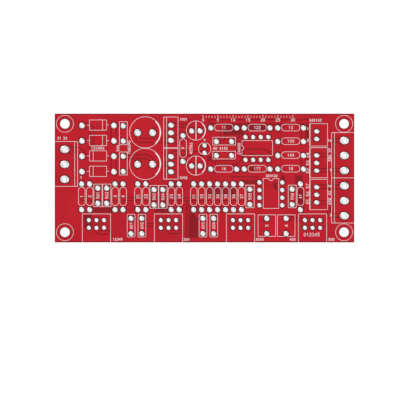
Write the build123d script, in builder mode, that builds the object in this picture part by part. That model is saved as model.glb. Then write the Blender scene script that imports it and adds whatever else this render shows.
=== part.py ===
"""Bare preamplifier board: a glass-fibre panel, its tinned plated holes and its printed outlines.

Millimetres. The board lies flat, component side up. The origin is at the middle of its underside,
+X runs along its length towards the output terminals and +Y runs away from the tone controls.
"""

import os
from math import cos, radians, tan

from build123d import *

os.makedirs("parts", exist_ok=True)

# The panel and its four bolt holes
board_length = 100.0
board_width = 43.0
board_thickness = 1.6
bolt_hole_diameter = 3.2
bolt_hole_inset = 3.4

# The printed outlines
ink_line = 0.15
ink_thickness = 0.05

# Plated holes: the tinned land round each, along X and along Y, and the lead hole in it
terminal_land = (3.0, 2.45)
terminal_lead_hole = 1.4
header_land = (1.85, 1.5)
header_lead_hole = 0.95
regulator_land = (2.0, 1.7)
regulator_lead_hole = 1.1
diode_land = 1.9
diode_lead_hole = 1.1
reservoir_land = 2.25
reservoir_lead_hole = 1.1
part_land = 1.75
part_lead_hole = 0.9
amplifier_land = 1.5
amplifier_lead_hole = 0.85
control_land = 1.45
control_lead_hole = 0.85

# A round land has six flats here and a lead hole five, each with the area of its circle
land_reach_ratio = 1.10
lead_hole_side_count = 5
lead_hole_reach_ratio = 1.15

# Lead spacings
terminal_pitch = 5.0
pin_pitch = 2.54
amplifier_row_spacing = 7.62
resistor_lead_spacing = 8.6
resistor_pitch = 2.66
box_capacitor_lead_spacing = 5.08
reservoir_lead_spacing = 5.0
rail_capacitor_lead_spacing = 2.8
small_capacitor_lead_spacing = 2.5
diode_lead_spacing = 10.65
diode_pitch = 5.15

# Outlines of the parts that the holes are for, along X and along Y where a pair is given
resistor_body = (6.15, 2.25)
box_capacitor_body = (2.6, 7.6)
wide_capacitor_body = (5.9, 7.2)
diode_body = (5.7, 3.45)
amplifier_body = (5.05, 10.2)
regulator_depth = 4.8
header_depth = 5.95
header_end_room = 2.5
header_shift = 0.6
reservoir_diameter = 10.35
rail_capacitor_diameter = 6.6
small_capacitor_diameter = 4.1
terminal_depth = 7.65
control_body = (9.4, 9.5)
reservoir_side_count = 16
rail_capacitor_side_count = 12
small_capacitor_side_count = 8


def across(share):
    """A place along the board, as a share of its length from the middle."""
    return share * board_length


def up(share):
    """A place over the board, as a share of its width from the middle."""
    return share * board_width


def row(x, y, count, pitch):
    """Places side by side along X, centred on x."""
    return [(x + pitch * (n - (count - 1) / 2), y) for n in range(count)]


def column(x, y, count, pitch):
    """Places above each other along Y, centred on y."""
    return [(x, y + pitch * (n - (count - 1) / 2)) for n in range(count)]


def spread(places, across_leads, pitch):
    """Two lead places for each part: side by side where across_leads is true, else one above the other."""
    line = row if across_leads else column
    return [lead for x, y in places for lead in line(x, y, 2, pitch)]


# Power supply, at the left
terminal_inset = 3.3
input_terminal = (-board_length / 2 + terminal_inset, up(0.1058))
diodes = column(across(-0.356), up(0.2279), 4, diode_pitch)
rectifier_capacitors = [(across(-0.2715), up(0.3453)), (across(-0.2715), up(0.1093))]
reservoirs = [(across(-0.1985), up(0.3512)), (across(-0.1985), up(0.1058))]
regulator_pitch = 10.5
regulators = column(across(-0.112), up(0.2291), 2, regulator_pitch)
bleeder = [(across(-0.072), up(0.2279))]
rail_capacitors = [(across(-0.029), up(0.3651)), (across(-0.029), up(0.093))]
small_capacitor = [(across(0.0), up(0.2233))]

# Buffer stage, at the upper right
buffer_top_resistors = [(across(x), up(0.3884)) for x in (0.064, 0.1755, 0.2875)]
buffer_side_resistors = [(across(0.2875), up(0.2826)), (across(0.2875), up(0.1744))]
buffer_bottom_resistors = [(across(x), up(0.0686)) for x in (0.064, 0.1755, 0.2875)]
bypass_capacitors = [(across(0.065), up(0.2826)), (across(0.065), up(0.1744))]
buffer_amplifier = (across(0.175), up(0.2291))

# Tone stage, in the row under the supply
lower_row = up(-0.1465)
treble_resistors = row(across(-0.397), lower_row, 2, resistor_pitch)
treble_resistors += row(across(-0.2855), lower_row, 2, resistor_pitch)
middle_resistors = row(across(-0.2095), lower_row, 2, resistor_pitch)
middle_resistors += row(across(-0.098), lower_row, 2, resistor_pitch)
bass_resistors = row(across(0.0435), lower_row, 7, resistor_pitch)
volume_resistor = [(across(0.32), lower_row)]
box_capacitor_pitch = 2.95
treble_capacitors = row(across(-0.3415), up(-0.1384), 2, box_capacitor_pitch)
middle_capacitors = row(across(-0.154), up(-0.15), 2, box_capacitor_pitch)
bass_capacitor = [(across(0.1515), lower_row)]
volume_capacitor = [(across(0.2925), lower_row)]
tone_amplifier = (across(0.2215), up(-0.1233))

# Coupling capacitors, in the lowest row between the controls
lowest_row = up(-0.3733)
coupling_pitch = 3.6
output_coupling_pitch = 6.45
treble_coupling = row(across(-0.2275), lowest_row, 2, coupling_pitch)
middle_coupling = row(across(0.0125), lowest_row, 2, coupling_pitch)
output_coupling = row(across(0.24), lowest_row, 2, output_coupling_pitch)

# Controls along the lower edge, four at an even pitch
control_inset = 6.15
controls = row(0, -board_width / 2 + control_inset, 4, across(0.2405))

# Headers and terminals, at the right
header_x = across(0.3745)
power_header = (header_x, up(0.3326))
input_header = (header_x, up(0.1163))
output_header = (header_x, up(-0.1302))
terminal_block_pitch = 15.1
output_terminals = column(board_length / 2 - terminal_inset, up(-0.0012), 2, terminal_block_pitch)

bolt_holes = [
    (x * (board_length / 2 - bolt_hole_inset), y * (board_width / 2 - bolt_hole_inset))
    for x in (-1, 1)
    for y in (-1, 1)
]


def amplifier_pins(place, upright):
    """Eight pins in two rows of four, with the rows upright or level."""
    x, y = place
    half = amplifier_row_spacing / 2
    if upright:
        return column(x - half, y, 4, pin_pitch) + column(x + half, y, 4, pin_pitch)
    return row(x, y - half, 4, pin_pitch) + row(x, y + half, 4, pin_pitch)


def control_pins(place):
    """Six pins of a double potentiometer, in two rows of three."""
    x, y = place
    return row(x, y - pin_pitch / 2, 3, pin_pitch) + row(x, y + pin_pitch / 2, 3, pin_pitch)


# Every node of plated holes: its lead places, its land along X and Y, and its lead hole
part_lands = (part_land, part_land, part_lead_hole)
amplifier_lands = (amplifier_land, amplifier_land, amplifier_lead_hole)
control_lands = (control_land, control_land, control_lead_hole)
header_lands = (*header_land, header_lead_hole)
regulator_lands = (*regulator_land, regulator_lead_hole)
terminal_lands = (*terminal_land, terminal_lead_hole)

plated_holes = {
    "ac_input_terminal_pads": (column(*input_terminal, 3, terminal_pitch), *terminal_lands),
    "rectifier_diode_pads": (
        spread(diodes, True, diode_lead_spacing), diode_land, diode_land, diode_lead_hole
    ),
    "rectifier_capacitor_pads": (
        spread(rectifier_capacitors, False, box_capacitor_lead_spacing), *part_lands
    ),
    "reservoir_capacitor_pads": (
        spread(reservoirs, True, reservoir_lead_spacing),
        reservoir_land, reservoir_land, reservoir_lead_hole,
    ),
    "positive_regulator_pads": (column(*regulators[1], 3, pin_pitch), *regulator_lands),
    "negative_regulator_pads": (column(*regulators[0], 3, pin_pitch), *regulator_lands),
    "bleeder_resistor_pads": (spread(bleeder, False, resistor_lead_spacing), *part_lands),
    "rail_capacitor_pads": (
        spread(rail_capacitors, True, rail_capacitor_lead_spacing), *part_lands
    ),
    "small_capacitor_pads": (
        spread(small_capacitor, False, small_capacitor_lead_spacing), *amplifier_lands
    ),
    "buffer_top_resistor_pads": (
        spread(buffer_top_resistors, True, resistor_lead_spacing), *part_lands
    ),
    "buffer_side_resistor_pads": (
        spread(buffer_side_resistors, True, resistor_lead_spacing), *part_lands
    ),
    "buffer_bottom_resistor_pads": (
        spread(buffer_bottom_resistors, True, resistor_lead_spacing), *part_lands
    ),
    "bypass_capacitor_pads": (
        spread(bypass_capacitors, True, box_capacitor_lead_spacing), *part_lands
    ),
    "buffer_amplifier_pads": (amplifier_pins(buffer_amplifier, False), *amplifier_lands),
    "tone_amplifier_pads": (amplifier_pins(tone_amplifier, True), *amplifier_lands),
    "treble_resistor_pads": (spread(treble_resistors, False, resistor_lead_spacing), *part_lands),
    "treble_capacitor_pads": (
        spread(treble_capacitors, False, box_capacitor_lead_spacing), *part_lands
    ),
    "middle_resistor_pads": (spread(middle_resistors, False, resistor_lead_spacing), *part_lands),
    "middle_capacitor_pads": (
        spread(middle_capacitors, False, box_capacitor_lead_spacing), *part_lands
    ),
    "bass_resistor_pads": (spread(bass_resistors, False, resistor_lead_spacing), *part_lands),
    "bass_capacitor_pads": (
        spread(bass_capacitor, False, box_capacitor_lead_spacing), *part_lands
    ),
    "volume_resistor_pads": (spread(volume_resistor, False, resistor_lead_spacing), *part_lands),
    "volume_capacitor_pads": (
        spread(volume_capacitor, False, box_capacitor_lead_spacing), *part_lands
    ),
    "treble_coupling_pads": (
        spread(treble_coupling, False, box_capacitor_lead_spacing), *part_lands
    ),
    "middle_coupling_pads": (
        spread(middle_coupling, False, box_capacitor_lead_spacing), *part_lands
    ),
    "output_coupling_pads": (
        spread(output_coupling, False, box_capacitor_lead_spacing), *part_lands
    ),
    "treble_control_pads": (control_pins(controls[0]), *control_lands),
    "middle_control_pads": (control_pins(controls[1]), *control_lands),
    "bass_control_pads": (control_pins(controls[2]), *control_lands),
    "volume_control_pads": (control_pins(controls[3]), *control_lands),
    "power_header_pads": (column(*power_header, 2, pin_pitch), *header_lands),
    "input_header_pads": (column(*input_header, 3, pin_pitch), *header_lands),
    "output_header_pads": (column(*output_header, 3, pin_pitch), *header_lands),
    "signal_input_terminal_pads": (
        column(*output_terminals[1], 3, terminal_pitch), *terminal_lands
    ),
    "signal_output_terminal_pads": (
        column(*output_terminals[0], 3, terminal_pitch), *terminal_lands
    ),
}


def land_outline(length, width, mode=Mode.ADD):
    """A land of six flats with corners at both ends of its length."""
    reach = (length + (land_reach_ratio - 1) * width) / 2
    flat = width / 2 * land_reach_ratio * cos(radians(30))
    shoulder = reach - flat * tan(radians(30))
    Polygon(
        (reach, 0), (shoulder, flat), (-shoulder, flat),
        (-reach, 0), (-shoulder, -flat), (shoulder, -flat),
        mode=mode,
    )


# The glass-fibre panel, drilled for the bolts and opened for every land
places_by_land = {}
for places, length, width, _ in plated_holes.values():
    places_by_land.setdefault((length, width), []).extend(places)

with BuildPart() as board:
    with BuildSketch(Plane.XY):
        Rectangle(board_length, board_width)
        with Locations(*bolt_holes):
            Circle(bolt_hole_diameter / 2, mode=Mode.SUBTRACT)
        for (length, width), places in places_by_land.items():
            with Locations(*places):
                land_outline(length, width, Mode.SUBTRACT)
    extrude(amount=board_thickness)
board.part.label = "board"
export_step(board.part, "parts/board.step")

# The tinned holes: each is a sleeve right through the panel, as wide as its land
for name, (places, length, width, lead_hole) in plated_holes.items():
    with BuildPart() as pads:
        with BuildSketch(Plane.XY):
            with Locations(*places):
                land_outline(length, width)
            with Locations(*places):
                RegularPolygon(
                    lead_hole / 2 * lead_hole_reach_ratio, lead_hole_side_count, mode=Mode.SUBTRACT
                )
        extrude(amount=board_thickness)
    pads.part.label = name
    export_step(pads.part, f"parts/{name}.step")


def box_outline(places, length, width):
    """A printed rectangle round each place, measured along the middle of its line."""
    with Locations(*places):
        Rectangle(length + ink_line, width + ink_line)
    with Locations(*places):
        Rectangle(length - ink_line, width - ink_line, mode=Mode.SUBTRACT)


def round_outline(places, diameter, side_count):
    """A printed circle, drawn with flat sides, round each place."""
    with Locations(*places):
        RegularPolygon((diameter + ink_line) / 2, side_count)
    with Locations(*places):
        RegularPolygon((diameter - ink_line) / 2, side_count, mode=Mode.SUBTRACT)


def edge_outline(places, length, width, open_side):
    """A printed rectangle over each place, left open where it meets the board's edge."""
    side_x, side_y = open_side
    with Locations(*places):
        Rectangle(length, width)
    with Locations(*[(x + side_x * ink_line / 2, y + side_y * ink_line / 2) for x, y in places]):
        Rectangle(
            length - ink_line * (2 - abs(side_x)),
            width - ink_line * (2 - abs(side_y)),
            mode=Mode.SUBTRACT,
        )


# The printed outlines on the component side
upright_resistors = (
    bleeder + treble_resistors + middle_resistors + bass_resistors + volume_resistor
)
level_resistors = buffer_top_resistors + buffer_side_resistors + buffer_bottom_resistors
upright_capacitors = (
    rectifier_capacitors + treble_capacitors + middle_capacitors + bass_capacitor
    + volume_capacitor + treble_coupling + middle_coupling
)
resistor_length, resistor_width = resistor_body
capacitor_width, capacitor_length = box_capacitor_body
amplifier_width, amplifier_length = amplifier_body
control_width, control_depth = control_body
control_bodies = [(x, (control_depth - board_width) / 2) for x, _ in controls]
input_body = [((terminal_depth - board_length) / 2, input_terminal[1])]
output_bodies = [((board_length - terminal_depth) / 2, y) for _, y in output_terminals]

with BuildPart() as component_outlines:
    with BuildSketch(Plane.XY.offset(board_thickness)):
        box_outline(upright_resistors, resistor_width, resistor_length)
        box_outline(level_resistors, resistor_length, resistor_width)
        box_outline(upright_capacitors, capacitor_width, capacitor_length)
        box_outline(bypass_capacitors, capacitor_length, capacitor_width)
        box_outline(output_coupling, *wide_capacitor_body)
        box_outline(diodes, *diode_body)
        box_outline([buffer_amplifier], amplifier_length, amplifier_width)
        box_outline([tone_amplifier], amplifier_width, amplifier_length)
        box_outline(regulators, regulator_depth, regulator_pitch)
        for place, pins in ((power_header, 2), (input_header, 3), (output_header, 3)):
            body = (place[0] + header_shift, place[1])
            box_outline([body], header_depth, pins * pin_pitch + header_end_room)
        round_outline(reservoirs, reservoir_diameter, reservoir_side_count)
        round_outline(rail_capacitors, rail_capacitor_diameter, rail_capacitor_side_count)
        round_outline(small_capacitor, small_capacitor_diameter, small_capacitor_side_count)
        edge_outline(control_bodies, control_width, control_depth, (0, -1))
        edge_outline(input_body, terminal_depth, terminal_block_pitch, (-1, 0))
        edge_outline(output_bodies, terminal_depth, terminal_block_pitch + ink_line, (1, 0))
    extrude(amount=ink_thickness)
component_outlines.part.label = "component_outlines"
export_step(component_outlines.part, "parts/component_outlines.step")
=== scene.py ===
"""The looks of a bare preamplifier board: its panel, tinned holes and print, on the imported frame.

Sizes and places are in millimetres from the middle of the board's underside, as in the frame.
"""

import math
import random

import bmesh
import bpy
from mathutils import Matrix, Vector
from mathutils.geometry import delaunay_2d_cdt


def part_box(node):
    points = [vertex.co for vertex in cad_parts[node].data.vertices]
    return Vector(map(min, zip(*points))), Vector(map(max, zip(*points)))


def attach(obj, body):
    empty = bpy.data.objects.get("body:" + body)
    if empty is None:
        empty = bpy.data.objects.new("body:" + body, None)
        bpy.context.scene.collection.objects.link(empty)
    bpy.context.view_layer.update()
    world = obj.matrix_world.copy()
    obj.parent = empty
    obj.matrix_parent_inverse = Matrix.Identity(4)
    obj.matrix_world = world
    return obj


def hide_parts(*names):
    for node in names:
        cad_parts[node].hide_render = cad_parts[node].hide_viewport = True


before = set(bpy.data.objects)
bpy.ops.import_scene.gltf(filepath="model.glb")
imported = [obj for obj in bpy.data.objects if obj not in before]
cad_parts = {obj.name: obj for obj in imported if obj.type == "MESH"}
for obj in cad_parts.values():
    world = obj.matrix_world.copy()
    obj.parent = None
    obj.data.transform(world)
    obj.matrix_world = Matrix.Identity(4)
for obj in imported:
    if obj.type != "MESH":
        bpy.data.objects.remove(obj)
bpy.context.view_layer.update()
random.seed(7)

MM = 0.001

# The panel, from the frame
panel_low, panel_high = (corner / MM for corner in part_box("board"))
LENGTH = panel_high.x - panel_low.x
WIDTH = panel_high.y - panel_low.y
TOP = panel_high.z
BOTTOM = panel_low.z
BOLT_DIAMETER = 3.2
BOLT_INSET = 3.4
bolt_places = [
    (x * (LENGTH / 2 - BOLT_INSET), y * (WIDTH / 2 - BOLT_INSET)) for x in (-1, 1) for y in (-1, 1)
]

# Layers of the panel
COPPER = 0.035
MASK = 0.02
LAMINATE_TOP = TOP - COPPER - MASK
LAMINATE_BOTTOM = BOTTOM + COPPER + MASK

# The copper stops short of each land, track, edge and bolt hole, and the mask slopes down to where
# it is missing. The mask stops just short of each land, and spokes join some lands to the copper
CLEARANCE = 0.3
TRACK_GAP = 0.4
EDGE_PULLBACK = 0.3
BOLT_PULLBACK = 0.2
SLOPE = 0.07
MASK_GAP = 0.03
SPOKE = 0.4

# The tinned holes: the tin's height over its land, and how far one hole differs from another
PLATING = 0.06
CROWN = 0.028
CROWN_SPREAD = (0.85, 1.1)
SWELL = 0.12
LIP = 0.05
EDGE_ROUND = 0.07

# The print: its lines, its thickness, how far it lies off the holes, and where it is cut back
LINE = 0.115
FINE_LINE = 0.1
BOLD_LINE = 0.2
DIGIT_LINE = 0.12
INK = 0.02
PRINT_SHIFT = Vector((0.05, 0.15))
LAND_CUT_BACK = 0.12
BOLT_CUT_BACK = 0.2

# Points on a full circle, and steps round a corner
FINE = 32
EYELET = 36
RING = 72
CORNER_STEPS = 7

# Points nearer than this are one: in a drawing, in millimetres, and in the frame, in metres
SNAP = 1e-5
WELD = 1e-7

# The six-sided lands and five-sided lead holes of the frame stand for round ones of the same area
LAND_REACH = 1.10
LAND_FLAT = LAND_REACH * math.cos(math.radians(30))
LEAD_REACH = 1.15


def circle(x, y, rx, ry=None, count=FINE):
    """A round or oval loop, anticlockwise."""
    ry = rx if ry is None else ry
    turns = (math.tau * n / count for n in range(count))
    return [(x + rx * math.cos(a), y + ry * math.sin(a)) for a in turns]


def arc(x, y, rx, ry, start, end, steps):
    """Points along an oval arc, from one angle to another, in degrees."""
    turns = (math.radians(start + (end - start) * n / steps) for n in range(steps + 1))
    return [(x + rx * math.cos(a), y + ry * math.sin(a)) for a in turns]


def box(x, y, length, width, radius=0.0):
    """A rectangular loop, with round corners where a radius is given."""
    half_length, half_width = length / 2, width / 2
    if radius <= 0:
        corners = ((-1, -1), (1, -1), (1, 1), (-1, 1))
        return [(x + i * half_length, y + j * half_width) for i, j in corners]
    loop = []
    for quarter, (i, j) in enumerate(((1, 1), (-1, 1), (-1, -1), (1, -1))):
        corner = (x + i * (half_length - radius), y + j * (half_width - radius))
        loop += arc(*corner, radius, radius, 90 * quarter, 90 * quarter + 90, CORNER_STEPS)
    return loop


def capsule(a, b, width, steps=6):
    """A loop round a straight bar with round ends."""
    a, b = Vector(a), Vector(b)
    turn = math.degrees(math.atan2(b.y - a.y, b.x - a.x))
    half = width / 2
    return arc(*b, half, half, turn - 90, turn + 90, steps) + arc(
        *a, half, half, turn + 90, turn + 270, steps
    )


def divide(loops):
    """Triangles of the plane cut by closed loops, each with the set of loops that hold it."""
    points, faces = [], []
    for loop in loops:
        start = len(points)
        points.extend(Vector(p) for p in loop)
        faces.append(list(range(start, start + len(loop))))
    inside_only = 1
    result = delaunay_2d_cdt(points, [], faces, inside_only, SNAP)
    return result[0], result[2], [set(owners) for owners in result[5]]


def lands(node):
    """Each plated hole of a node: its centre, land along X and Y, and lead hole."""
    mesh = bmesh.new()
    mesh.from_mesh(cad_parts[node].data)
    bmesh.ops.remove_doubles(mesh, verts=mesh.verts, dist=WELD)
    waiting, found = set(mesh.verts), []
    while waiting:
        island, edge = [], [waiting.pop()]
        while edge:
            vertex = edge.pop()
            island.append(vertex.co / MM)
            near = {e.other_vert(vertex) for e in vertex.link_edges} & waiting
            waiting -= near
            edge.extend(near)
        low = Vector(map(min, *island))
        high = Vector(map(max, *island))
        centre = ((low + high) / 2).to_2d()
        width = (high.y - low.y) / LAND_FLAT
        length = high.x - low.x - (LAND_REACH - 1) * width
        lead = 2 * min((p.to_2d() - centre).length for p in island) / LEAD_REACH
        place = (round(centre.x, 3), round(centre.y, 3))
        found.append((*place, *(round(size, 2) for size in (length, width, lead))))
    mesh.free()
    return sorted(found)


pad_nodes = sorted(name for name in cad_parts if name.endswith("_pads"))
pads = {node: lands(node) for node in pad_nodes}
all_pads = [pad for node in pad_nodes for pad in pads[node]]


def middle(node):
    """The middle of a node's plated holes."""
    xs, ys = [p[0] for p in pads[node]], [p[1] for p in pads[node]]
    return Vector(((min(xs) + max(xs)) / 2, (min(ys) + max(ys)) / 2))


def parts(node, level):
    """The middle of each two-lead part of a node, its leads side by side where it is level."""
    order = sorted((p[:2] for p in pads[node]), key=(lambda p: (p[1], p[0])) if level else None)
    return [(Vector(a) + Vector(b)) / 2 for a, b in zip(order[::2], order[1::2])]


# Copper on the component side: the width of each track and its bends
TRACKS = (
    (1.1, [(-46.7, 9.43), (-42.05, 9.43), (-40.0, 7.4)]),
    (1.2, [(-30.3, 17.5), (-30.3, 12.4)]),
    (1.2, [(-30.3, 7.2), (-30.3, 2.1)]),
    (0.9, [(-40.9, 17.5), (-38.6, 17.5), (-37.65, 16.5), (-37.65, 8.3), (-38.6, 7.35), (-40.9, 7.35)]),
    (1.0, [(-22.2, 15.1), (-22.2, 13.2), (-21.6, 12.55), (-11.3, 12.55)]),
    (0.9, [(-27.1, 7.1), (-18.9, 7.1), (-17.7, 6.2), (-17.3, 4.6)]),
    (0.8, [(-17.3, 4.6), (-11.3, 4.6)]),
    (0.7, [(-11.2, 17.55), (-6.4, 17.55), (-4.4, 15.7)]),
    (0.9, [(-11.2, 7.1), (-10.0, 8.25), (-1.2, 8.25), (0.0, 8.1)]),
    (1.0, [(2.2, 18.8), (38.4, 18.8)]),
    (0.8, [(6.0, 16.2), (6.0, 13.0), (4.0, 12.2)]),
    (0.9, [(33.05, 16.7), (33.05, 12.1)]),
    (0.9, [(33.05, 7.5), (33.05, 3.0)]),
    (1.3, [(13.7, 6.2), (13.7, 8.8), (19.6, 8.8), (20.9, 8.0), (21.3, 6.2)]),
    (0.9, [(4.2, 5.1), (10.4, 5.2), (11.7, 6.5), (11.7, 13.1), (13.6, 13.6)]),
    (0.7, [(37.4, 7.6), (40.9, 7.6), (41.6, 8.4), (41.6, 11.6), (42.4, 12.5), (46.7, 12.5)]),
    (0.7, [(37.4, 2.6), (46.7, 2.6)]),
    (0.8, [(37.4, -2.9), (46.7, -2.9)]),
    (0.7, [(37.4, -8.1), (40.6, -8.1), (41.5, -9.0), (41.5, -11.8), (42.2, -12.5), (46.7, -12.5)]),
    (0.6, [(-41.0, -7.0), (12.4, -7.0)]),
    (0.45, [(-5.6, -8.3), (-5.6, -20.6)]),
    (0.8, [(-36.0, -16.7), (-36.0, -17.5), (-35.2, -18.2), (-31.8, -18.2)]),
    (0.8, [(-12.0, -16.7), (-12.0, -17.4), (-11.2, -18.0), (-7.8, -18.0)]),
    (0.6, [(-19.3, -15.7), (-17.2, -15.7)]),
    (0.5, [(27.2, -13.4), (31.2, -13.6), (33.5, -14.1)]),
)

# Places with no copper on the component side
BARE_PLACES = (
    [(6.7, 14.3), (13.4, 14.3), (13.4, 17.7), (6.7, 17.7)],
    [(13.2, 15.9), (20.7, 15.9), (20.7, 17.7), (13.2, 17.7)],
    [(33.9, 12.9), (34.9, 12.9), (34.9, 18.2), (33.9, 18.2)],
    [(0.8, 5.5), (3.2, 5.5), (2.2, 7.4), (0.8, 7.4)],
    [(15.0, 2.3), (17.4, 2.3), (17.4, 3.9), (15.0, 3.9)],
    [(8.6, 0.15), (18.0, 0.15), (18.0, 0.6), (8.6, 0.6)],
    [(12.0, -2.0), (18.6, -2.0), (18.6, -0.55), (12.4, -0.55)],
    [(25.4, -2.3), (26.9, -2.3), (26.9, 0.85), (25.4, 0.85)],
    [(30.2, -1.8), (32.7, -1.8), (32.7, 0.85), (30.2, 0.85)],
    [(22.9, -3.2), (24.2, -4.5), (24.2, -1.6), (22.9, -1.6)],
    [(31.2, -9.0), (32.9, -9.0), (32.9, -3.2), (31.2, -3.2)],
    [(0.9, -5.7), (10.7, -5.7), (10.7, -3.2), (0.9, -3.2)],
    [(-37.6, -11.6), (-31.0, -11.6), (-31.0, -9.8), (-37.6, -9.8)],
    [(-16.6, -11.6), (-12.1, -11.6), (-12.1, -10.1), (-16.6, -10.1)],
    [(-4.9, -19.9), (-2.1, -19.9), (-2.1, -13.6), (-4.0, -11.6), (-4.9, -12.2)],
    [(-40.4, -16.5), (-37.6, -16.5), (-37.6, -12.3), (-40.4, -12.3)],
)

# Lands with spokes: the middle one of each of these groups
SPOKED = [
    pads[node][len(pads[node]) // 2]
    for node in (
        "ac_input_terminal_pads",
        "positive_regulator_pads",
        "input_header_pads",
        "output_header_pads",
        "signal_input_terminal_pads",
        "signal_output_terminal_pads",
    )
]


def shrunk(loop, gap, sharpest=0.3):
    """A convex anticlockwise loop moved inwards by a gap, with a limit at sharp corners."""
    points = [Vector(p) for p in loop]
    moved = []
    for before, point, after in zip(points[-1:] + points[:-1], points, points[1:] + points[:1]):
        into, out = (point - before).normalized(), (after - point).normalized()
        inward = Vector((-into.y - out.y, into.x + out.x)).normalized()
        moved.append(point + inward * gap / max(sharpest, inward.dot(Vector((-out.y, out.x)))))
    return moved


def segments(points):
    """The straight runs of a line of points."""
    return list(zip(points, points[1:]))


class Regions:
    """Closed loops by kind, and the triangles that they cut the plane into."""

    def __init__(self):
        self.loops = []
        self.kinds = {}

    def add(self, kind, loop):
        self.kinds.setdefault(kind, set()).add(len(self.loops))
        self.loops.append(loop)

    def cut(self):
        self.points, self.faces, owners = divide(self.loops)
        self.inside = [
            {kind for kind, members in self.kinds.items() if members & held} for held in owners
        ]


def panel_regions():
    """The loops of the panel: its edge, holes, mask openings, clearances, tracks and bare places.

    A kind that ends in low is the foot of a slope. It adds points to the mesh and no layer.
    """
    made = Regions()
    edges = (("board", 0), ("edge_low", EDGE_PULLBACK), ("poured", EDGE_PULLBACK + SLOPE))
    for kind, inset in edges:
        made.add(kind, box(0, 0, LENGTH - 2 * inset, WIDTH - 2 * inset))
    bolts = (("bolt", 0), ("bolt_low", BOLT_PULLBACK), ("cleared", BOLT_PULLBACK + SLOPE))
    for x, y in bolt_places:
        for kind, reach in bolts:
            made.add(kind, circle(x, y, BOLT_DIAMETER / 2 + reach, count=2 * FINE))
    openings = (("opening", MASK_GAP), ("land_low", CLEARANCE), ("cleared", CLEARANCE + SLOPE))
    for x, y, length, width, lead in all_pads:
        made.add("barrel", circle(x, y, lead / 2 + PLATING))
        for kind, reach in openings:
            made.add(kind, circle(x, y, length / 2 + reach, width / 2 + reach))
    for x, y, length, width, _ in SPOKED:
        centre = Vector((x, y))
        for reach in ((length / 2 + 2 * CLEARANCE, 0), (0, width / 2 + 2 * CLEARANCE)):
            made.add("spoke", capsule(centre - Vector(reach), centre + Vector(reach), SPOKE))
    tracks = (
        ("track", 0),
        ("track_low", SLOPE),
        ("channel_low", TRACK_GAP - SLOPE),
        ("channel", TRACK_GAP),
    )
    for width, points in TRACKS:
        for a, b in segments(points):
            for kind, reach in tracks:
                made.add(kind, capsule(a, b, width + 2 * reach))
    for loop in BARE_PLACES:
        made.add("bare", loop)
        made.add("bare_low", shrunk(loop, SLOPE))
    made.cut()
    return made


# Layers of one face of the panel
MASKED, LAMINATE = 0, 1
# Material slots of the panel. The second is mask over laminate darkened as painted shade, for the
# clearance rings, mask slopes and underside
OVER_COPPER, OVER_LAMINATE_PAINTED_SHADE, OVER_BARE, CUT_EDGE = range(4)


def top_layer(kinds):
    """The layer and material of a triangle on the component side, or None where it is open."""
    if "board" not in kinds or kinds & {"bolt", "barrel"}:
        return None
    if "opening" in kinds:
        return LAMINATE, CUT_EDGE
    if kinds & {"track", "spoke"} and "poured" in kinds:
        return MASKED, OVER_COPPER
    # Clearance rings get the mask red darkened as painted shade
    if "cleared" in kinds:
        return MASKED, OVER_LAMINATE_PAINTED_SHADE
    if kinds & {"channel", "bare"} or "poured" not in kinds:
        return MASKED, OVER_BARE
    return MASKED, OVER_COPPER


def bottom_layer(kinds):
    """The same on the underside, whose copper is one plane with cleared lands."""
    if "board" not in kinds or kinds & {"bolt", "barrel"}:
        return None
    if "opening" in kinds:
        return LAMINATE, CUT_EDGE
    if "spoke" in kinds or ("poured" in kinds and "cleared" not in kinds):
        return MASKED, OVER_COPPER
    # The bare underside gets the mask red darkened as painted shade
    return MASKED, OVER_LAMINATE_PAINTED_SHADE


class Shell:
    """Vertices and faces of a mesh in the making, with a material slot for each face."""

    def __init__(self):
        self.vertices, self.faces, self.slots = [], [], []

    def vertex(self, x, y, z):
        self.vertices.append((x * MM, y * MM, z * MM))
        return len(self.vertices) - 1

    def face(self, corners, slot=0):
        self.faces.append(corners)
        self.slots.append(slot)

    def object(self, name, materials, smooth):
        mesh = bpy.data.meshes.new(name)
        mesh.from_pydata(self.vertices, [], self.faces)
        for material in materials:
            mesh.materials.append(material)
        mesh.polygons.foreach_set("material_index", self.slots)
        mesh.polygons.foreach_set("use_smooth", [smooth] * len(self.faces))
        mesh.update()
        made = bpy.data.objects.new(name, mesh)
        bpy.context.scene.collection.objects.link(made)
        return made


def panel_side(shell, regions, layer_of, copper_level, gap_level, laminate_level, up):
    """One stepped face of the panel. Gives its corner at each open edge, by the edge's two points."""
    layers = [layer_of(kinds) for kinds in regions.inside]
    raised = {
        point
        for face, layer in zip(regions.faces, layers)
        if layer == (MASKED, OVER_COPPER)
        for point in face
    }
    corners, sides = {}, {}

    def corner(point, level):
        if (point, level) not in corners:
            x, y = regions.points[point]
            z = laminate_level
            if level == MASKED:
                z = copper_level if point in raised else gap_level
            corners[point, level] = shell.vertex(x, y, z)
        return corners[point, level]

    for face, layer in zip(regions.faces, layers):
        if layer is None:
            continue
        level, slot = layer
        loop = [corner(point, level) for point in face]
        shell.face(loop if up else loop[::-1], slot)
        for a, b in zip(face, face[1:] + face[:1]):
            sides[a, b] = level
    rim = {}
    for (a, b), level in sides.items():
        other = sides.get((b, a))
        if other is None:
            rim[a, b] = (corner(a, level), corner(b, level))
        elif level == MASKED and other == LAMINATE:
            # Mask slopes get the mask red darkened as painted shade
            wall = [corner(b, MASKED), corner(a, MASKED), corner(a, LAMINATE), corner(b, LAMINATE)]
            shell.face(wall if up else wall[::-1], OVER_LAMINATE_PAINTED_SHADE)
    return rim


def make_panel(materials):
    """The laminate panel under its solder mask, with its holes, mask openings and copper relief."""
    regions = panel_regions()
    shell = Shell()
    top = panel_side(shell, regions, top_layer, TOP, TOP - COPPER, LAMINATE_TOP, True)
    bottom = panel_side(
        shell, regions, bottom_layer, BOTTOM, BOTTOM + COPPER, LAMINATE_BOTTOM, False
    )
    for edge, (a, b) in top.items():
        low_a, low_b = bottom[edge]
        shell.face([b, a, low_a, low_b], CUT_EDGE)
    return shell.object("panel", materials, False)


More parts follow.
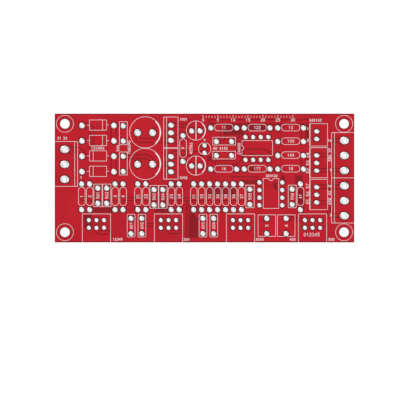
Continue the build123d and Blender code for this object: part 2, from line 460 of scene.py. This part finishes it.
def eyelet_section(room, crown):
    """The section of a plated hole: distances outwards from its barrel, and heights."""
    upper = [
        (0.0, TOP / 2),
        (0.0, TOP - 2 * LIP),
        (0.004, TOP - LIP),
        (0.25 * LIP, TOP - 0.35 * LIP),
        (0.7 * LIP, TOP + 0.35 * crown),
        (1.4 * LIP, TOP + 0.75 * crown),
        (0.32 * room, TOP + crown),
        (0.5 * room, TOP + 0.9 * crown),
        (0.7 * room, TOP + 0.55 * crown),
        (room - EDGE_ROUND, TOP - 0.1 * crown),
        (room - 0.4 * EDGE_ROUND, TOP - 0.35 * EDGE_ROUND),
        (room - 0.08 * EDGE_ROUND, TOP - 0.7 * EDGE_ROUND),
        (room, LAMINATE_TOP),
        (PLATING, LAMINATE_TOP),
    ]
    # The lower half is the upper one turned over, with its crown level with the underside
    half, peak = TOP / 2, TOP + crown
    lower = []
    for r, z in upper[:0:-1]:
        turned = BOTTOM + (peak - z) * half / (peak - half)
        lower.append((r, LAMINATE_BOTTOM if z == LAMINATE_TOP else turned))
    return upper + lower


def make_eyelet(shell, x, y, length, width, lead):
    """A plated hole: a crowned tinned land on each face and the barrel between them."""
    hole, land = lead / 2, width / 2
    room = land - hole
    crown = CROWN * random.uniform(*CROWN_SPREAD)
    lean = random.uniform(0, math.tau)
    rings = []
    for r, z in eyelet_section(room, crown):
        rx = hole + r + (length - width) / 2 * r / room
        ry = hole + r
        ring = []
        for n in range(EYELET):
            a = math.tau * n / EYELET
            swell = SWELL * crown * math.cos(a - lean) if z > TOP else 0.0
            ring.append(shell.vertex(x + rx * math.cos(a), y + ry * math.sin(a), z + swell))
        rings.append(ring)
    for inner, outer in zip(rings, rings[1:] + rings[:1]):
        for n in range(EYELET):
            after = (n + 1) % EYELET
            shell.face([inner[n], outer[n], outer[after], inner[after]])


def make_pads(node, tin):
    """The tinned holes of one node."""
    shell = Shell()
    for pad in pads[node]:
        make_eyelet(shell, *pad)
    made = shell.object("tinned_" + node[: -len("_pads")], [tin], True)
    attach(made, "root")
    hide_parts(node)


# The strokes of each digit in a cell of that width and 1 high, and the step from one to the next
DIGIT_WIDTH = 0.6
DIGIT_STEP = 0.88
DIGITS = {
    "0": [arc(0.3, 0.5, 0.27, 0.5, 0, 360, 14)],
    "1": [[(0.1, 0.8), (0.32, 1.0), (0.32, 0.0)]],
    "2": [arc(0.3, 0.71, 0.28, 0.29, 165, -35, 7) + [(0.0, 0.0), (0.6, 0.0)]],
    "3": [arc(0.28, 0.75, 0.26, 0.25, 150, -90, 7), arc(0.28, 0.25, 0.3, 0.25, 90, -150, 7)],
    "4": [[(0.44, 0.0), (0.44, 1.0), (0.0, 0.3), (0.6, 0.3)]],
    "5": [[(0.55, 1.0), (0.1, 1.0), (0.05, 0.55)] + arc(0.27, 0.32, 0.3, 0.32, 110, -145, 8)],
    "6": [[(0.48, 1.0), (0.12, 0.6)] + arc(0.3, 0.3, 0.28, 0.3, 130, 490, 12)],
    "7": [[(0.0, 1.0), (0.58, 1.0), (0.2, 0.0)]],
    "8": [arc(0.3, 0.76, 0.23, 0.24, 0, 360, 10), arc(0.3, 0.26, 0.29, 0.26, 0, 360, 12)],
    "9": [arc(0.3, 0.7, 0.28, 0.3, -40, 320, 12) + [(0.12, 0.0)]],
    "+": [[(0.0, 0.5), (0.6, 0.5)], [(0.3, 0.2), (0.3, 0.8)]],
    " ": [],
}


class Print:
    """The printed shapes, each an outer loop and the loop left open inside it."""

    def __init__(self):
        self.shapes = []

    def solid(self, loop):
        self.shapes.append((loop, None))

    def bar(self, a, b, line=LINE):
        self.solid(capsule(a, b, line))

    def path(self, points, line=LINE):
        for a, b in segments(points):
            self.bar(a, b, line)

    def box(self, place, length, width, radius=0.0):
        outer = box(*place, length + LINE, width + LINE, radius + LINE / 2 if radius else 0.0)
        inner = box(*place, length - LINE, width - LINE, max(0.0, radius - LINE / 2))
        self.shapes.append((outer, inner))

    def ring(self, place, diameter, line=LINE):
        outer, inner = (diameter + line) / 2, (diameter - line) / 2
        self.shapes.append((circle(*place, outer, count=RING), circle(*place, inner, count=RING)))

    def crescent(self, x, y, outer, inner, steps):
        """A broad arc at the right-hand side of a ring."""
        there = arc(x, y, outer, outer, -MARK_REACH, MARK_REACH, steps)
        back = arc(x, y, inner, inner, MARK_REACH, -MARK_REACH, steps)
        self.solid(there + back)

    def number(self, text, place, height, turned=False):
        """Digits centred on a place, read from the right where they are turned."""
        wide = height * (DIGIT_STEP * (len(text) - 1) + DIGIT_WIDTH)
        for n, mark in enumerate(text):
            for stroke in DIGITS[mark]:
                flat = [
                    (height * (u + DIGIT_STEP * n) - wide / 2, height * (v - 0.5)) for u, v in stroke
                ]
                if turned:
                    flat = [(-v, u) for u, v in flat]
                self.path([(place[0] + u, place[1] + v) for u, v in flat], DIGIT_LINE)


# Printed bodies along X and Y, to the middle of their lines, and the radius of their corners
RESISTOR_BODY = (6.14, 2.24)
RESISTOR_CORNER = 1.08
DIODE_BODY = (5.7, 3.44)
DIODE_CORNER = 0.15
RECTIFIER_CAPACITOR_BODY = (2.62, 7.65)
BYPASS_CAPACITOR_BODY = (7.58, 2.56)
TREBLE_CAPACITOR_BODY = (2.75, 7.5)
MIDDLE_CAPACITOR_BODY = (2.75, 7.6)
BASS_CAPACITOR_BODY = (2.72, 7.5)
VOLUME_CAPACITOR_BODY = (2.66, 7.5)
COUPLING_BODY = (2.58, 7.55)
COUPLING_CORNER = 0.3
OUTPUT_COUPLING_BODY = (5.88, 7.2)
REGULATOR_BODY = (4.8, 10.3)
BODY_NUMBER = 0.9

# Rings by their diameter, and broad arcs at a negative side by their radii, steps and half angle
RESERVOIR_RING = 10.45
RESERVOIR_MARK = (5.25, 4.87, 20)
RAIL_RING = 6.44
RAIL_MARK = (3.24, 3.0, 16)
MARK_REACH = 47
BOLT_RING = 5.68

# The small capacitor's ring is two arcs, by the angle they start at and span, under a plus sign
SMALL_RADIUS = 2.07
SMALL_STARTS = (100, -80)
SMALL_SPAN = 160
SMALL_STEPS = 14
PLUS_RISE = 2.95
PLUS_HEIGHT = 1.3

# Other outlines and marks: sizes, and distances from the middle of a part's leads
DIODE_BANDS = (-1.6, -1.6, 1.5, 1.5)
DIODE_BAND_REACH = 1.7
DIODE_LEAD_MARK = 0.75
RAIL_BAR_REACH = 3.2
REGULATOR_SPREAD = 5.22
REGULATOR_SHIFT = 0.1
REGULATOR_TAB = 1.5
REGULATOR_TAB_REACH = 10.4
INPUT_TERMINAL_REACH = 7.5
INPUT_TERMINAL_LINES = (4.3, 3.3)
CONTROL_REACH = 4.71
HEADER_LENGTHS = {"power_header": 7.5, "input_header": 10.05, "output_header": 10.1}
HEADER_DEPTH = 5.94
HEADER_SHIFT = (0.6, -0.05)
HEADER_WALL = 2.3
OUTPUT_TERMINAL_HEIGHTS = (-15.12, -0.05, 15.08)
OUTPUT_TERMINAL_REACH = 4.33
OUTPUT_TERMINAL_STEP = 0.97

# The top line of the controls, from the middle of the board, and the steps of an amplifier's notch
CONTROL_TOP = -11.99
NOTCH_STEPS = 8


def print_bodies(ink, node, level, size, radius=0.0, numbers=(), turned=True):
    """A body for each two-lead part of a node, with a number in it where numbers are given."""
    for n, place in enumerate(parts(node, level)):
        x, y = place + PRINT_SHIFT
        ink.box((x, y), *size, radius)
        if numbers:
            ink.number(numbers[n], (x, y), BODY_NUMBER, turned)


def print_resistors(ink, node, level, numbers):
    """A rounded body and a number for each resistor."""
    size = RESISTOR_BODY if level else RESISTOR_BODY[::-1]
    print_bodies(ink, node, level, size, RESISTOR_CORNER, numbers, not level)


def print_diodes(ink):
    """A body for each diode, with its band and the start of its leads."""
    end = DIODE_BODY[0] / 2
    for place, band in zip(parts("rectifier_diode_pads", True), DIODE_BANDS):
        x, y = place + PRINT_SHIFT
        ink.box((x, y), *DIODE_BODY, DIODE_CORNER)
        ink.bar((x + band, y - DIODE_BAND_REACH), (x + band, y + DIODE_BAND_REACH))
        for side in (-1, 1):
            ink.bar((x + side * end, y), (x + side * (end + DIODE_LEAD_MARK), y))


def print_round_capacitors(ink):
    """A ring for each upright capacitor of the supply, with its marks."""
    for place in parts("reservoir_capacitor_pads", True):
        x, y = place + PRINT_SHIFT
        ink.ring((x, y), RESERVOIR_RING)
        ink.crescent(x, y, *RESERVOIR_MARK)
    for place in parts("rail_capacitor_pads", True):
        x, y = place + PRINT_SHIFT
        ink.ring((x, y), RAIL_RING)
        ink.bar((x, y - RAIL_BAR_REACH), (x, y + RAIL_BAR_REACH), BOLD_LINE)
        ink.crescent(x, y, *RAIL_MARK)
    x, y = parts("small_capacitor_pads", False)[0] + PRINT_SHIFT
    for start in SMALL_STARTS:
        ink.path(arc(x, y, SMALL_RADIUS, SMALL_RADIUS, start, start + SMALL_SPAN, SMALL_STEPS))
    ink.number("+", (x, y + PLUS_RISE), PLUS_HEIGHT)


def print_regulators(ink):
    """The bodies of the two regulators, and one line along their metal tabs."""
    x, y = (middle("positive_regulator_pads") + middle("negative_regulator_pads")) / 2 + PRINT_SHIFT
    for side in (-1, 1):
        ink.box((x - REGULATOR_SHIFT, y + side * REGULATOR_SPREAD), *REGULATOR_BODY)
    tab = x - REGULATOR_TAB
    ink.bar((tab, y - REGULATOR_TAB_REACH), (tab, y + REGULATOR_TAB_REACH))


def print_input_terminal(ink):
    """The body of the input terminal, open at the board's edge."""
    x, y = middle("ac_input_terminal_pads") + PRINT_SHIFT
    low, high = y - INPUT_TERMINAL_REACH, y + INPUT_TERMINAL_REACH
    for level in (low, high):
        ink.bar((-LENGTH / 2, level), (x + INPUT_TERMINAL_LINES[0], level))
    for line in INPUT_TERMINAL_LINES:
        ink.bar((x + line, low), (x + line, high))


def print_power_supply(ink):
    """Outlines of the supply: terminal, diodes, capacitors and regulators."""
    print_diodes(ink)
    print_bodies(ink, "rectifier_capacitor_pads", False, RECTIFIER_CAPACITOR_BODY)
    print_round_capacitors(ink)
    print_regulators(ink)
    print_resistors(ink, "bleeder_resistor_pads", False, ["9"])
    print_input_terminal(ink)


def print_buffer(ink):
    """Outlines of the buffer stage."""
    print_resistors(ink, "buffer_top_resistor_pads", True, ["11", "122", "13"])
    print_resistors(ink, "buffer_side_resistor_pads", True, ["144", "155"])
    print_resistors(ink, "buffer_bottom_resistor_pads", True, ["16", "177", "18"])
    print_bodies(ink, "bypass_capacitor_pads", True, BYPASS_CAPACITOR_BODY)
    x, y = middle("buffer_amplifier_pads") + PRINT_SHIFT
    left, right, low, high = x - 5.05, x + 5.15, y - 2.5, y + 2.5
    notch = arc(left, y, 0.6, 0.65, 90, -90, NOTCH_STEPS)
    corners = [(left, low), (right, low), (right, high), (left, high)]
    ink.path(notch + corners + notch[:1])


def print_tone_stage(ink):
    """Outlines of the tone stage: two rows of parts over the controls."""
    for node, numbers in (
        ("treble_resistor_pads", ["1", "2", "3", "4"]),
        ("middle_resistor_pads", ["21", "22", "23", "24"]),
        ("bass_resistor_pads", ["31", "32", "33", "34", "35", "36", "37"]),
        ("volume_resistor_pads", ["41"]),
    ):
        print_resistors(ink, node, False, numbers)
    for node, size, corner, numbers in (
        ("treble_capacitor_pads", TREBLE_CAPACITOR_BODY, 0.0, ["501", "502"]),
        ("middle_capacitor_pads", MIDDLE_CAPACITOR_BODY, 0.0, ["503", "504"]),
        ("bass_capacitor_pads", BASS_CAPACITOR_BODY, 0.0, ["505"]),
        ("volume_capacitor_pads", VOLUME_CAPACITOR_BODY, 0.0, ["506"]),
        ("treble_coupling_pads", COUPLING_BODY, COUPLING_CORNER, ["601", "602"]),
        ("middle_coupling_pads", COUPLING_BODY, COUPLING_CORNER, ["603", "604"]),
        ("output_coupling_pads", OUTPUT_COUPLING_BODY, 0.0, ["5", "6"]),
    ):
        print_bodies(ink, node, False, size, corner, numbers)
    x, y = middle("tone_amplifier_pads") + PRINT_SHIFT
    left, right, low, high = x - 2.6, x + 2.6, y - 4.99, y + 4.99
    notch = arc(x, high, 0.75, 0.7, 180, 360, NOTCH_STEPS)
    corners = [(right, high), (right, low), (left, low), (left, high)]
    ink.path(notch + corners + notch[:1])
    for node in ("treble", "middle", "bass", "volume"):
        x = middle(node + "_control_pads").x
        left, right, edge = x - CONTROL_REACH, x + CONTROL_REACH, -WIDTH / 2
        ink.path([(left, edge), (left, CONTROL_TOP), (right, CONTROL_TOP), (right, edge)])


def print_connectors(ink):
    """Outlines of the headers and of the two signal terminals, and a ring round each bolt hole."""
    for node, length in HEADER_LENGTHS.items():
        x, y = middle(node + "_pads") + PRINT_SHIFT
        wall = x - HEADER_WALL
        ink.box((x + HEADER_SHIFT[0], y + HEADER_SHIFT[1]), HEADER_DEPTH, length)
        ink.bar((wall, y - length / 2), (wall, y + length / 2), BOLD_LINE)
    input_middle = middle("signal_input_terminal_pads")
    output_middle = middle("signal_output_terminal_pads")
    left = input_middle.x - OUTPUT_TERMINAL_REACH + PRINT_SHIFT.x
    joint = (input_middle.y + output_middle.y) / 2 + PRINT_SHIFT.y
    levels = [joint + height for height in OUTPUT_TERMINAL_HEIGHTS]
    for level in levels:
        ink.bar((left, level), (LENGTH / 2, level))
    for line in (left, left + OUTPUT_TERMINAL_STEP):
        ink.bar((line, levels[0]), (line, levels[-1]))
    for place in bolt_places:
        ink.ring(place, BOLT_RING, FINE_LINE)


# Plain numbers beside the parts: text, place, height and whether it is turned
LABELS = (
    ("01 23", (-47.5, 13.3), 0.75, False),
    ("1", (-41.2, 0.1), 0.9, False),
    ("123456", (-35.65, 10.0), 0.87, False),
    ("506", (-28.9, 9.95), 0.85, True),
    ("708090", (-25.15, 10.2), 0.88, True),
    ("1001", (-7.0, 19.6), 0.75, False),
    ("2002", (-7.0, 0.1), 0.75, False),
    ("40506", (-4.5, 9.9), 0.9, True),
    ("60 6162", (5.3, 9.95), 0.8, False),
    ("24680", (11.5, 9.75), 0.9, True),
    ("303132", (22.4, 0.75), 0.75, False),
    ("505152", (37.05, 19.25), 0.8, False),
    ("1", (34.5, 16.4), 0.8, False),
    ("2", (34.5, 12.6), 0.8, False),
    ("52 53 54", (34.45, 5.0), 1.0, True),
    ("55 56 57", (34.45, -5.3), 1.0, True),
    ("580 59", (41.75, 7.75), 0.85, True),
    ("600 62", (41.75, -6.6), 0.9, True),
    ("10", (41.75, 12.5), 0.75, False),
    ("3", (42.1, 2.7), 0.8, False),
    ("10", (41.75, -2.7), 0.75, False),
    ("3", (42.1, -12.4), 0.8, False),
    ("12345", (-29.0, -20.45), 0.75, False),
    ("200", (-6.0, -20.5), 0.75, False),
    ("3000", (18.4, -20.5), 0.8, False),
    ("400", (29.4, -20.5), 0.8, False),
    ("500", (42.4, -20.5), 0.8, False),
    ("012345", (35.8, -18.9), 1.05, False),
)


# The printed scale: where it starts, its length, its ticks and the numbers under them
SCALE_START = (-0.5, 20.2)
SCALE_LENGTH = 30
SCALE_STEP = 5
SHORT_TICK = 0.4
LONG_TICK = 0.75
SCALE_NUMBER = 0.95
SCALE_NUMBER_DROP = 0.8


def print_scale(ink):
    """A plain printed scale: a tick at every millimetre, longer and numbered at every fifth."""
    left, y = SCALE_START
    for n in range(SCALE_LENGTH + 1):
        x = left + n
        numbered = n % SCALE_STEP == 0
        ink.bar((x, y), (x, y + (LONG_TICK if numbered else SHORT_TICK)), DIGIT_LINE)
        if numbered:
            ink.number(str(n), (x, y - SCALE_NUMBER_DROP), SCALE_NUMBER)


def cut_back_loops():
    """A loop round each land and each bolt hole, where the print stops."""
    loops = []
    for x, y, length, width, _ in all_pads:
        loops.append(circle(x, y, length / 2 + LAND_CUT_BACK, width / 2 + LAND_CUT_BACK))
    for x, y in bolt_places:
        loops.append(circle(x, y, BOLT_DIAMETER / 2 + BOLT_CUT_BACK))
    return loops


def inked(shapes):
    """Points and faces of the printed shapes, cut back from the lands, bolt holes and edges."""
    loops = [box(0, 0, LENGTH, WIDTH)] + cut_back_loops()
    blocked = set(range(1, len(loops)))
    pairs = []
    for outer, inner in shapes:
        pairs.append((len(loops), len(loops) + 1 if inner else None))
        loops.append(outer)
        if inner:
            loops.append(inner)
    points, faces, owners = divide(loops)
    kept = [
        face
        for face, held in zip(faces, owners)
        if 0 in held
        and not held & blocked
        and any(outer in held and inner not in held for outer, inner in pairs)
    ]
    return points, kept


def make_print(ink_material):
    """All the white print as one thin raised layer."""
    ink = Print()
    print_power_supply(ink)
    print_buffer(ink)
    print_tone_stage(ink)
    print_connectors(ink)
    for text, place, height, turned in LABELS:
        ink.number(text, place, height, turned)
    print_scale(ink)

    points, faces = inked(ink.shapes)
    shell = Shell()
    levels = {}
    for face in faces:
        for point in face:
            if point not in levels:
                x, y = points[point]
                levels[point] = (shell.vertex(x, y, TOP - COPPER), shell.vertex(x, y, TOP + INK))
    sides = {(a, b) for face in faces for a, b in segments(face + face[:1])}
    for face in faces:
        shell.face([levels[point][1] for point in face])
        shell.face([levels[point][0] for point in reversed(face)])
    for a, b in sides:
        if (b, a) not in sides:
            shell.face([levels[b][1], levels[a][1], levels[a][0], levels[b][0]])
    made = shell.object("printed_legend", [ink_material], False)
    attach(made, "root")
    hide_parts("component_outlines")


# The part of a noise texture's range that is spread between two values
NOISE_START = 0.3
NOISE_END = 0.7


class Finish:
    """A procedural material on one shader, with helpers for its texture nodes."""

    def __init__(self, name, color, roughness, metallic=0.0, specular=0.5):
        self.material = bpy.data.materials.new(name)
        self.material.use_nodes = True
        self.tree = self.material.node_tree
        self.shader = self.tree.nodes["Principled BSDF"]
        self.shader.inputs["Base Color"].default_value = (*color, 1)
        self.shader.inputs["Roughness"].default_value = roughness
        self.shader.inputs["Metallic"].default_value = metallic
        self.shader.inputs["Specular IOR Level"].default_value = specular
        self.place = self.tree.nodes.new("ShaderNodeTexCoord").outputs["Object"]

    def node(self, kind, **values):
        made = self.tree.nodes.new(kind)
        for name, value in values.items():
            made.inputs[name.replace("_", " ")].default_value = value
        return made

    def link(self, source, target):
        self.tree.links.new(source, target)

    def noise(self, size, detail=3.0, stretch=(1, 1, 1)):
        """Noise whose grains are about that many millimetres across."""
        mapping = self.node("ShaderNodeMapping", Scale=stretch)
        self.link(self.place, mapping.inputs["Vector"])
        texture = self.node("ShaderNodeTexNoise", Scale=1 / (size * MM), Detail=detail)
        self.link(mapping.outputs["Vector"], texture.inputs["Vector"])
        return texture.outputs["Fac"]

    def color_range(self, source, low, high, start=NOISE_START, end=NOISE_END):
        """Base colour between two colours, by a texture."""
        ramp = self.node("ShaderNodeValToRGB")
        stops = ramp.color_ramp.elements
        stops[0].position, stops[1].position = start, end
        stops[0].color, stops[1].color = (*low, 1), (*high, 1)
        self.link(source, ramp.inputs["Fac"])
        self.link(ramp.outputs["Color"], self.shader.inputs["Base Color"])

    def roughness_range(self, source, low, high):
        """Roughness between two values, by a texture."""
        spread = {"From_Min": NOISE_START, "From_Max": NOISE_END, "To_Min": low, "To_Max": high}
        ranged = self.node("ShaderNodeMapRange", **spread)
        self.link(source, ranged.inputs["Value"])
        self.link(ranged.outputs["Result"], self.shader.inputs["Roughness"])

    def bump(self, source, height, strength):
        """Relief of that many millimetres, by a texture."""
        relief = self.node("ShaderNodeBump", Strength=strength, Distance=height * MM)
        self.link(source, relief.inputs["Height"])
        self.link(relief.outputs["Normal"], self.shader.inputs["Normal"])


def mask_finish(name, low, high):
    """Glossy red solder mask, a little uneven in depth and surface."""
    made = Finish(name, high, roughness=0.28, specular=0.2)
    made.color_range(made.noise(9.0, detail=2.0), low, high)
    made.roughness_range(made.noise(2.5), low=0.22, high=0.32)
    made.bump(made.noise(1.2, detail=1.0), height=0.0015, strength=0.5)
    return made.material


def laminate_finish():
    """Cut glass-fibre laminate: layers of cloth in straw-coloured resin."""
    made = Finish("laminate", (0.46, 0.4, 0.24), roughness=0.6)
    layers = made.noise(0.5, detail=4.0, stretch=(0.25, 0.25, 3.0))
    made.color_range(layers, low=(0.3, 0.25, 0.13), high=(0.6, 0.53, 0.33))
    fibres = made.noise(0.15, detail=4.0, stretch=(0.3, 0.3, 2.0))
    made.bump(fibres, height=0.02, strength=0.6)
    return made.material


def tin_finish():
    """Bright tin from a levelled solder bath, gently wavy."""
    made = Finish("tin", (0.78, 0.78, 0.8), roughness=0.3, metallic=1.0)
    made.color_range(made.noise(0.8), low=(0.72, 0.72, 0.74), high=(0.82, 0.82, 0.85))
    made.roughness_range(made.noise(0.4), low=0.22, high=0.4)
    made.bump(made.noise(0.35, detail=2.0), height=0.008, strength=0.5)
    return made.material


def ink_finish():
    """White screen-printed ink, slightly patchy where it lies thin."""
    made = Finish("ink", (0.88, 0.85, 0.85), roughness=0.55, specular=0.3)
    patches = made.noise(0.35, detail=4.0)
    made.color_range(patches, low=(0.78, 0.7, 0.7), high=(0.9, 0.88, 0.88), start=0.25, end=0.5)
    made.bump(made.noise(0.12, detail=2.0), height=0.004, strength=0.5)
    return made.material


def rays(tree, *kinds):
    """1 for rays of any of those kinds, else 0."""
    path = tree.nodes.new("ShaderNodeLightPath")
    total = path.outputs[f"Is {kinds[0]} Ray"]
    for kind in kinds[1:]:
        both = tree.nodes.new("ShaderNodeMath")
        both.operation = "MAXIMUM"
        tree.links.new(total, both.inputs[0])
        tree.links.new(path.outputs[f"Is {kind} Ray"], both.inputs[1])
        total = both.outputs["Value"]
    return total


# The studio, in metres: how bright the floor and the sky look, and how much light they give
FLOOR_SIZE = 3.0
FLOOR_GAP = 0.0001
FLOOR_GLOW = 0.9
FLOOR_COLOR = (0.2, 0.2, 0.2)
SKY_LOOK = 1.0
SKY_MIRRORED = (0.2, 0.85)
SKY_SOFTBOX = (0.0, -0.45, 0.9)
SKY_SOFTBOX_REACH = (0.2, 1.0)
SKY_LIGHT = 0.62
# Each lamp's name, place, size, and power in watts
LAMPS = (
    ("key_lamp", (-0.25, 0.55, 0.75), 0.5, 3.6),
    ("fill_lamp", (0.5, -0.2, 0.8), 0.7, 1.6),
)


def make_floor():
    """A plain white floor that still takes the board's shadow."""
    mesh = bpy.data.meshes.new("floor")
    half, level = FLOOR_SIZE / 2, BOTTOM * MM - FLOOR_GAP
    mesh.from_pydata(
        [(-half, -half, level), (half, -half, level), (half, half, level), (-half, half, level)],
        [],
        [(0, 1, 2, 3)],
    )
    floor = bpy.data.objects.new("floor", mesh)
    bpy.context.scene.collection.objects.link(floor)
    material = bpy.data.materials.new("floor")
    material.use_nodes = True
    tree = material.node_tree
    tree.nodes.clear()
    paint = tree.nodes.new("ShaderNodeBsdfDiffuse")
    paint.inputs["Color"].default_value = (*FLOOR_COLOR, 1)
    glow = tree.nodes.new("ShaderNodeEmission")
    strength = tree.nodes.new("ShaderNodeMath")
    strength.operation = "MULTIPLY"
    strength.inputs[1].default_value = FLOOR_GLOW
    both = tree.nodes.new("ShaderNodeAddShader")
    output = tree.nodes.new("ShaderNodeOutputMaterial")
    tree.links.new(rays(tree, "Camera", "Glossy", "Transmission"), strength.inputs[0])
    tree.links.new(strength.outputs["Value"], glow.inputs["Strength"])
    tree.links.new(paint.outputs["BSDF"], both.inputs[0])
    tree.links.new(glow.outputs["Emission"], both.inputs[1])
    tree.links.new(both.outputs["Shader"], output.inputs["Surface"])
    mesh.materials.append(material)


def make_sky():
    """A sky that is white where it is seen, mirrored as a big softbox, and softer as a light."""
    world = bpy.data.worlds.new("studio")
    world.use_nodes = True
    bpy.context.scene.world = world
    tree = world.node_tree
    tree.nodes.clear()
    direction = tree.nodes.new("ShaderNodeTexCoord")
    towards = tree.nodes.new("ShaderNodeVectorMath")
    towards.operation = "DOT_PRODUCT"
    towards.inputs[1].default_value = SKY_SOFTBOX
    ranged = tree.nodes.new("ShaderNodeMapRange")
    limits = (*SKY_SOFTBOX_REACH, *SKY_MIRRORED)
    for name, value in zip(("From Min", "From Max", "To Min", "To Max"), limits):
        ranged.inputs[name].default_value = value
    tree.links.new(direction.outputs["Generated"], towards.inputs[0])
    tree.links.new(towards.outputs["Value"], ranged.inputs["Value"])
    light, mirrored, seen = (tree.nodes.new("ShaderNodeBackground") for _ in range(3))
    for shade in (light, mirrored, seen):
        shade.inputs["Color"].default_value = (1, 1, 1, 1)
    light.inputs["Strength"].default_value = SKY_LIGHT
    seen.inputs["Strength"].default_value = SKY_LOOK
    tree.links.new(ranged.outputs["Result"], mirrored.inputs["Strength"])
    shown = light.outputs["Background"]
    for shade, kinds in ((mirrored, ("Glossy", "Transmission")), (seen, ("Camera",))):
        mixed = tree.nodes.new("ShaderNodeMixShader")
        tree.links.new(rays(tree, *kinds), mixed.inputs["Fac"])
        tree.links.new(shown, mixed.inputs[1])
        tree.links.new(shade.outputs["Background"], mixed.inputs[2])
        shown = mixed.outputs["Shader"]
    output = tree.nodes.new("ShaderNodeOutputWorld")
    tree.links.new(shown, output.inputs["Surface"])


def make_lamps():
    """Soft lamps, each aimed at the middle of the board."""
    for name, place, size, power in LAMPS:
        light = bpy.data.lights.new(name, "AREA")
        light.size = size
        light.energy = power
        lamp = bpy.data.objects.new(name, light)
        lamp.location = place
        lamp.rotation_mode = "QUATERNION"
        lamp.rotation_quaternion = (-Vector(place)).to_track_quat("-Z", "Y")
        bpy.context.scene.collection.objects.link(lamp)


# The photograph looks straight down with no perspective
PHOTO_PIXELS = 400
PIXELS_PER_MM = 2.995
BOARD_MIDDLE_PIXEL = (204.5, 178.0)
CAMERA_HEIGHT = 0.5


def make_camera():
    """A camera straight above, with the photograph's frame."""
    data = bpy.data.cameras.new("camera")
    data.type = "ORTHO"
    data.ortho_scale = PHOTO_PIXELS / PIXELS_PER_MM * MM
    camera = bpy.data.objects.new("camera", data)
    x = (PHOTO_PIXELS / 2 - BOARD_MIDDLE_PIXEL[0]) / PIXELS_PER_MM * MM
    y = (BOARD_MIDDLE_PIXEL[1] - PHOTO_PIXELS / 2) / PIXELS_PER_MM * MM
    camera.location = (x, y, CAMERA_HEIGHT)
    bpy.context.scene.collection.objects.link(camera)
    bpy.context.scene.camera = camera


# Red mask over copper, over laminate darkened as painted shade (clearance rings, mask slopes,
# underside) and over bare laminate: its darker and its brighter red
MASK_REDS = {
    "mask_over_copper": ((0.45, 0.004, 0.015), (0.52, 0.006, 0.018)),
    "mask_over_laminate_painted_shade": ((0.12, 0.001, 0.004), (0.14, 0.002, 0.005)),
    "mask_over_laminate": ((0.24, 0.002, 0.008), (0.28, 0.003, 0.01)),
}


def make_board():
    """The three kinds of piece that the board is made of."""
    masks = [mask_finish(name, *reds) for name, reds in MASK_REDS.items()]
    panel = make_panel([*masks, laminate_finish()])
    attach(panel, "root")
    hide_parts("board")
    tin = tin_finish()
    for node in pad_nodes:
        make_pads(node, tin)
    make_print(ink_finish())


make_board()
make_floor()
make_sky()
make_lamps()
make_camera()
bpy.context.scene.view_settings.view_transform = "Standard"
